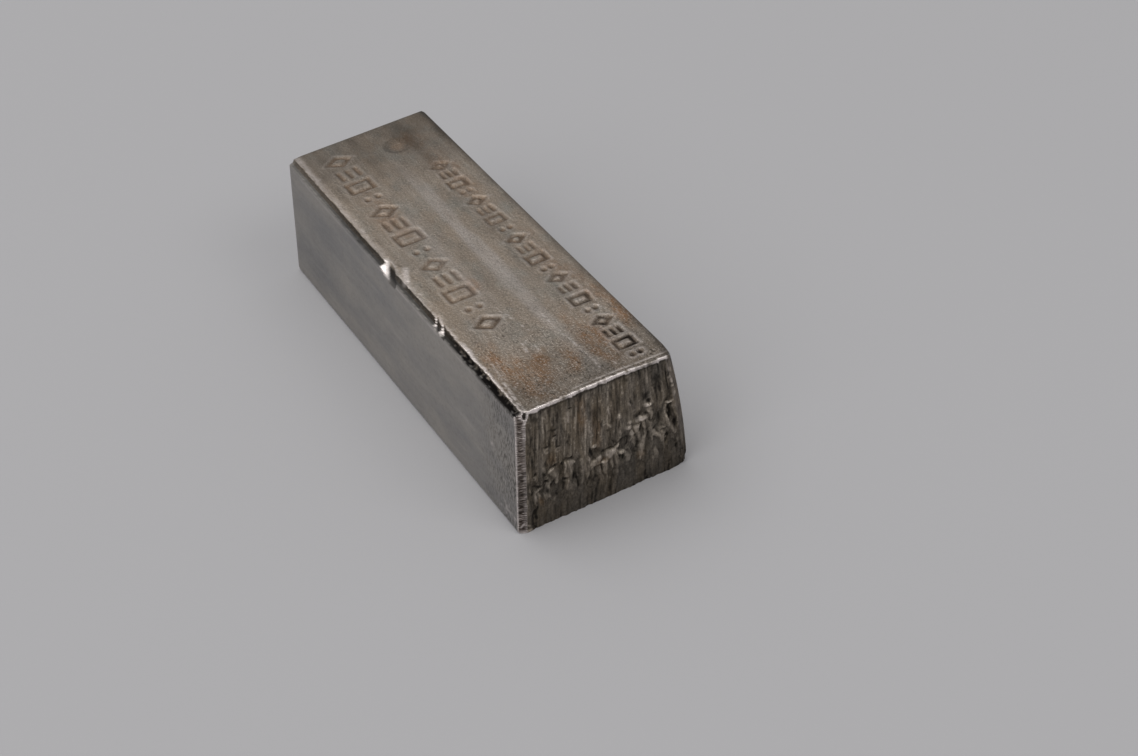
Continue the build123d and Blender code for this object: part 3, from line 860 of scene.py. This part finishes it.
# Painted shadow just above each torn ring
ring_shadow = most(
    spot(x, z, ring_x, ring_z + 1.5 * radius, 1.3 * radius, 0.5 * radius) for ring_x, ring_z, radius in RINGS
)
hollows = 0.85 * ease(-fine - 0.5 * broad, 0.015, 0.15)
valleys = 0.5 * torn_share * fade(folded + 0.8 * lump, 0, 0.55)
shade = (0.44 + 0.1 * ease(x, 2.5, 6)) * fade(z, 0.5, 5) + 0.28 * ease(x, 2.5, 5) * ease(z, 9.5, 11)
shade = shade + 0.14 * fade(x, -5, -2) * ease(z, 7, 9) + 0.2 * ease(z, 13, 14.6)
shade = np.maximum(shade + 0.12 * grain(x, z, 1.3, 2.2, 57) + 0.12 * grain(x, z, 0.2, 0.25, 71), 0)
# Dark shares: sulphide and painted shade in grooves, hollows, gaps and valleys, sooty smudges, and painted
# shadow over the rings
sooty_and_shaded = (grooves, hollows, valleys, 0.84 * gap, 0.62 * valley, 0.6 * smudge, 0.75 * ring_shadow)
end_soot_and_shade = np.clip(most((*sooty_and_shaded, 0.6 * leaf_edge * below)) + shade, 0, 0.92)
# Pale crests on the lines, beads, creases, folds and ring rims, partly rubbed and partly painted highlight
lit_and_rubbed_lines = 0.85 * ease(lines, 0.3, 1.15) * line_share * patchy
beads = 0.5 * ease(grain(x, z, 0.16, 0.24, 79) + 0.45 * lines, 0.65, 1.1) * (1 - below)
creases = 0.55 * ease(fine, 0.012, 0.08)
lit_and_rubbed_folds = 0.7 * folded**1.5 * torn_share * patchy
lit_and_rubbed = most((lit_and_rubbed_lines, beads, creases, lit_and_rubbed_folds, 0.75 * ring_rim, 0.2 * leaf))
lit_and_rubbed = lit_and_rubbed * (1 - 0.8 * np.maximum(gap, valley)) * (1 - shade)
crest = np.clip(np.maximum(lit_and_rubbed, 1.05 * lump_highlight), 0, 1)
foot_burr = np.maximum(spot(x, z, -8.7, 0.15, 0.45, 0.25), 0.7 * stroke(x, z, (-9.2, 1.2), (-8.6, 0.7), 0.12))
crest = np.maximum(crest, 0.7 * foot_burr)
end_soot_and_shade = end_soot_and_shade * (1 - np.maximum(0.9 * lump_highlight, foot_burr))
rusty = spots(bent_x, z, RUSTY) * (0.8 + 0.3 * grain(x, z, 0.3, 0.6, 58))
soot_and_shade = np.where(on_near_end, end_soot_and_shade, soot_and_shade)
brown = np.where(on_near_end, 0.6 * rusty, brown)
crest = np.where(on_near_end, crest, 0)
# The lumps' painted highlights also lay bare silver colour on the brightest tops
bare_and_highlight = np.maximum(bare_and_highlight, 0.4 * on_near_end * lump_highlight**2)

# Torn silver, grey-brown and olive with grime, pale cream on the crests from rubbing and painted highlight
torn_metal, tree, place = start_material("sheared_grimed_silver")
fine_lines = pattern(place, 0.2, (1, 1, 5), detail=2, low=0.45, high=0.65)
up = add(tree, "SeparateXYZ", {"Vector": place}).outputs["Z"]
tone = layered(
    mixed(pattern(place, 1.4, (1, 1, 4)), "#8B8379", "#877B6B"),
    (share_of(tree, "brown"), 1, "#80623F"),
    (fine_lines, ranged(up, 1, 5, 0.25, 0.55), "#3D3833"),
    (share_of(tree, "crest"), 1, "#DACDBD"),
    (pattern(place, 0.2, detail=1, low=0.5, high=0.7), 0.4, "#4A433C"),
)
dullness = ranged(pattern(place, 0.8), 0, 1, 0.38, 0.52)
finish(tone, dullness, pattern(place, 0.2, (1, 1, 6)), 0.00004)

# The upright corners of the torn end. The left one is filed flat, with the file's strokes across it
# and painted highlights along its borders, and the right one was rolled over by the shear into a dark strip.
STROKE_SPACING = 0.24
STROKE_HEIGHT = 0.04
STROKE_RISE = 0.25
TOP_FLARE = 0.16
CURL = (-7.95, 14.42, 0.44)
ROLLED_RADIUS = 0.7
low_on_end = np.array([-BASE_WIDTH / 2 + FILED_AT_BASE, -LENGTH / 2, 0.0])
high_on_end = np.array([-TOP_WIDTH / 2 + FILED_AT_TOP, -LENGTH / 2, HEIGHT])
low_on_flank = np.array([-BASE_WIDTH / 2, -LENGTH / 2 + FILED_ON_FLANK, 0.0])
filed_out = np.cross(high_on_end - low_on_end, low_on_flank - low_on_end)
filed_out = filed_out / np.linalg.norm(filed_out)
skin_x, _, skin_z = points.T
over = (points - low_on_end) @ filed_out + TOP_FLARE * ease(skin_z, HEIGHT - 1.7, HEIGHT - 0.2)
stroke_z = skin_z - STROKE_RISE * skin_x + 0.05 * grain(skin_z, skin_x, 0.9, 1.5, 45)
strokes = 0.5 + 0.5 * grain(stroke_z, skin_x, STROKE_SPACING / 2, 3, 51)
strokes = strokes + 0.2 * grain(stroke_z, skin_x, 2 * STROKE_SPACING, 3, 52)
filed = over > 0
points = points - np.where(filed, over + STROKE_HEIGHT * strokes, 0)[:, None] * filed_out
skin_x, _, skin_z = points.T
across_flat = (skin_x + flank_x) / flat_width
# Painted highlights along both borders of the filed flat
left_border_highlight = fade(across_flat, 0.03, 0.18) * (0.65 + 0.2 * grain(skin_z, skin_x, 0.4, 2, 59))
right_border_highlight = fade(over, 0.06, 0.2) * filed * (0.2 + 0.5 * ease(z, 9, 13))
right_border_highlight = right_border_highlight * (0.7 + 0.4 * grain(skin_z, skin_x, 0.5, 2, 60))
foot_curl = 0.6 * fade(skin_z, 0.1, 0.5)
foot_curl = np.maximum(foot_curl, 0.5 * stroke(x, z, (-9.6, 0.8), (-9.2, 1.2), 0.12))
from_curl = np.hypot(x - CURL[0], z - CURL[1]) / CURL[2]
curl = 0.9 * bell(from_curl, 1.1, 0.25)
bare_and_highlight = np.where(filed, most((left_border_highlight, right_border_highlight, foot_curl, curl)) * ease(from_curl, 0.5, 0.9), bare_and_highlight)
# Painted highlight along the flank beside the filed flat
flank_border_highlight = on_left * fade(from_near_end, FILED_ON_FLANK, FILED_ON_FLANK + 0.12)
bare_and_highlight = np.where(filed, bare_and_highlight, np.maximum(bare_and_highlight, 0.7 * flank_border_highlight))
soot_and_shade = np.where(filed, 0.5 * ease(strokes, 0.35, 0.9) * (1 - left_border_highlight) * (1 - right_border_highlight), soot_and_shade)
soot_and_shade = np.where(filed, np.maximum(soot_and_shade, 0.85 * fade(from_curl, 0.5, 1)), soot_and_shade)
at_corner = on_top * fade(x, -7.7, -7.2) * fade(from_near_end, 0.25, 0.7)
bare_and_highlight = np.maximum(bare_and_highlight, 0.8 * at_corner)
soot_and_shade = soot_and_shade * (1 - at_corner)
crest = np.where(filed, 0, crest)
brown = np.where(filed, 0, brown)
near_right = np.array([BASE_WIDTH / 2, -LENGTH / 2, 0.0])
points = round_edge(points, near_right, near_out, right_out, ROLLED_RADIUS)
strip = on_near_end * ease(x - flank_x, -0.95, -0.6) * (1 - lump_highlight)
soot_and_shade = np.maximum(soot_and_shade, 0.32 * strip)
bare_and_highlight = np.maximum(bare_and_highlight, 0.08 * strip * ease(z, 1.5, 5))
strip_edge = bell(x, flank_x - 0.78, 0.12) * ease(z, 6.5, 9.5)
strip_edge = strip_edge * (0.65 + 0.5 * grain(z, x, 0.5, 2, 90))
bare_and_highlight = np.maximum(bare_and_highlight, 0.24 * on_near_end * strip_edge)
soot_and_shade = soot_and_shade * (1 - 0.6 * on_near_end * np.clip(strip_edge, 0, 1))

# Filed silver: fine strokes side by side, pinkish grey where the file's teeth rode and brown between
filed_metal, tree, place = start_material("filed_silver")
stroke_turn = (0, math.atan(STROKE_RISE), 0)
tone = mixed(pattern(place, 1), "#766D67", "#837871")
teeth = pattern(place, STROKE_SPACING / 2, (12, 12, 1), stroke_turn, detail=1, low=0.42, high=0.58)
tone = mixed(teeth, "#413833", tone)
glints = pattern(place, STROKE_SPACING / 2, (5, 5, 1), stroke_turn, detail=1, low=0.56, high=0.68)
tone = layered(tone, (glints, 0.7, "#D3C8C2"))
finish(tone, ranged(teeth, 0, 1, 0.5, 0.38), teeth, 0.00005)

# The burr stands along the torn end's top edge, bare and uneven, broken into painted highlight beads,
# with a painted shadow under it and a thin dark line behind it. It droops to the right, where the shear
# pulled the top down.
BURR_WIDTH = 0.05
BURR_RISE = 0.058
SCALE_LENGTH = 1.35
SCALE_FALL = 0.2
RIGHT_DROOP = 0.3
below_top = HEIGHT - z
scale = x / SCALE_LENGTH + 0.35 * wander(x, 1.9, 49)
fall = SCALE_FALL * (scale - np.floor(scale)) * (0.6 + 0.4 * wander(x, 1.4, 87))
scallop = 0.07 * wander(x, 0.26, 48)
low_side = BURR_WIDTH + 0.1 + fall + scallop
high_side = BURR_WIDTH - 0.05 + 0.75 * SCALE_FALL - fall + scallop
on_face = on_near_end * fade(below_top, low_side, low_side + 0.12) * ease(below_top, fall - 0.25, fall - 0.1)
on_face = on_face * ease(x, -7.8, -7.35)
on_shelf = on_top * fade(from_near_end, high_side, high_side + 0.14)
# Painted highlight beads along the burr's bare silver
blobs = wander(x, 0.35, 50) + 0.6 * grain(x, z + from_near_end, 0.7, 0.25, 67)
gleam = np.clip(0.8 - 0.2 * ease(x, 4.6, 5.4) + 0.6 * blobs, 0.12, 1) * fade(x, 7.9, 8.2)
burr = np.maximum(on_face, on_shelf) * gleam
bare_and_highlight = np.maximum(bare_and_highlight, burr)
soot_and_shade = soot_and_shade * (1 - burr)
crest = crest * (1 - burr)
# Painted shadow on the end face just under the burr
burr_shadow = on_near_end * ease(below_top, low_side + 0.05, low_side + 0.15) * fade(below_top, 0.4, 0.8)
soot_and_shade = np.where(filed, soot_and_shade, np.maximum(soot_and_shade, 0.7 * burr_shadow * (1 - burr)))
behind = on_top * ease(from_near_end, 0.22, 0.35) * fade(from_near_end, 0.4, 0.65)
soot_and_shade = np.maximum(soot_and_shade, 0.45 * behind * (0.7 + 0.5 * wander(x, 0.8, 68)))
second = on_top * ease(from_near_end, 0.5, 0.6) * fade(from_near_end, 0.6, 0.85)
second = second * ease(grain(x, from_near_end, 0.9, 0.6, 69) + ease(x, -2, 3), 0, 0.9)
bare_and_highlight = np.maximum(bare_and_highlight, 0.4 * second)
points[:, 2] += BURR_RISE * on_top * fade(from_near_end, 0.1, 0.4) * gleam
points[:, 2] -= RIGHT_DROOP * ease(x, 1, 8.5) * fade(from_near_end, 0, 2) * share_up**4

# The whole skin. The surface becomes one mesh in metres, which lies flat on the floor and stays just
# inside the stock's own length.
FAR_END_PULL = 0.02


def placed(name, data):
    """A new object in the scene."""
    made = bpy.data.objects.new(name, data)
    bpy.context.scene.collection.objects.link(made)
    return made


points[:, 1] -= FAR_END_PULL * cube[:, 2]
points[:, 2] = np.maximum(points[:, 2], 0)
mesh = bpy.data.meshes.new("silver_bar_metal")
mesh.from_pydata((points / 1000).tolist(), [], quads.tolist() + triangles.tolist())
mesh.shade_smooth()
finishes = {"bare_and_highlight": bare_and_highlight, "soot_and_shade": soot_and_shade, "brown": brown, "pale": pale, "crest": crest, "scuffed": scuffed}
for name, values in finishes.items():
    share = np.clip(values, 0, 1).astype(np.float32)
    mesh.attributes.new(name, "FLOAT", "POINT").data.foreach_set("value", share)
for material in (drawn, toned, torn_metal, filed_metal):
    mesh.materials.append(material)
slots = []
for faces in (quads, triangles):
    slot = np.where(on_near_end[faces].all(axis=1), 2, 0)
    slot = np.where(on_top[faces].all(axis=1), 1, slot)
    slots.append(np.where(filed[faces].all(axis=1), 3, slot))
mesh.polygons.foreach_set("material_index", np.concatenate(slots).astype(np.int32))
bar = placed("silver_bar_metal", mesh)
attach(bar, "root")
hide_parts("silver_bar")

# The floor is a plain pale board, and isn't part of the bar.
FLOOR_HALF = 1.5
floor_mesh = bpy.data.meshes.new("floor")
corners = [(-FLOOR_HALF, -FLOOR_HALF, 0), (FLOOR_HALF, -FLOOR_HALF, 0),
           (FLOOR_HALF, FLOOR_HALF, 0), (-FLOOR_HALF, FLOOR_HALF, 0)]
floor_mesh.from_pydata(corners, [], [(0, 1, 2, 3)])
floor = placed("floor", floor_mesh)
board = bpy.data.materials.new("pale_board")
board.use_nodes = True
board.node_tree.nodes.clear()
shader = add(board.node_tree, "BsdfPrincipled", {
    "Base Color": linear("#ABAAAC"), "Roughness": 0.9,
})
add(board.node_tree, "OutputMaterial", {"Surface": shader.outputs["BSDF"]})
floor_mesh.materials.append(board)

# The light is a wide soft box overhead, smaller ones at the left and in front, and an even grey room.
world = bpy.data.worlds.new("room")
bpy.context.scene.world = world
world.use_nodes = True
world.node_tree.nodes.clear()
room = add(world.node_tree, "Background", {"Color": linear("#FFFFFF"), "Strength": 0.48})
add(world.node_tree, "OutputWorld", {"Surface": room.outputs["Background"]})
# Soft boxes by place, side and watts
SOFT_BOXES = (((-0.35, 0.35, 1.35), 1.3, 8.6), ((-0.9, -0.35, 0.75), 0.8, 2.8), ((0.45, -0.8, 0.9), 0.6, 2.4))
for number, (box_place, side, watts) in enumerate(SOFT_BOXES):
    lamp = bpy.data.lights.new(f"soft_box_{number}", "AREA")
    lamp.size = side
    lamp.energy = watts
    soft_box = placed(f"soft_box_{number}", lamp)
    soft_box.location = box_place
    soft_box.rotation_mode = "QUATERNION"
    soft_box.rotation_quaternion = (-soft_box.location).to_track_quat("-Z", "Y")

# The camera looks down on the torn end from its left, as the photograph does.
CAMERA_AZIMUTH = -0.461
CAMERA_ELEVATION = 0.6845
CAMERA_ROLL = -0.0912
CAMERA_DISTANCE = 0.2083
CAMERA_TARGET = (0.002551, -0.016379, 0.00692)
FOCAL_PIXELS = 2044
PHOTO_WIDTH = 1138

back = np.array([
    math.sin(CAMERA_AZIMUTH) * math.cos(CAMERA_ELEVATION),
    -math.cos(CAMERA_AZIMUTH) * math.cos(CAMERA_ELEVATION),
    math.sin(CAMERA_ELEVATION),
])
level_right = np.cross(-back, [0, 0, 1.0])
level_right /= np.linalg.norm(level_right)
level_up = np.cross(level_right, -back)
camera_right = math.cos(CAMERA_ROLL) * level_right + math.sin(CAMERA_ROLL) * level_up
camera_up = -math.sin(CAMERA_ROLL) * level_right + math.cos(CAMERA_ROLL) * level_up
camera_data = bpy.data.cameras.new("camera")
camera_data.sensor_width = 36.0
camera_data.lens = camera_data.sensor_width * FOCAL_PIXELS / PHOTO_WIDTH
camera_data.clip_start = 0.005
camera = placed("camera", camera_data)
camera_place = np.array(CAMERA_TARGET) + back * CAMERA_DISTANCE
camera.matrix_world = Matrix(
    [[*row] for row in zip(camera_right, camera_up, back, camera_place)] + [[0, 0, 0, 1]]
)
bpy.context.scene.camera = camera
bpy.context.scene.view_settings.view_transform = "Standard"
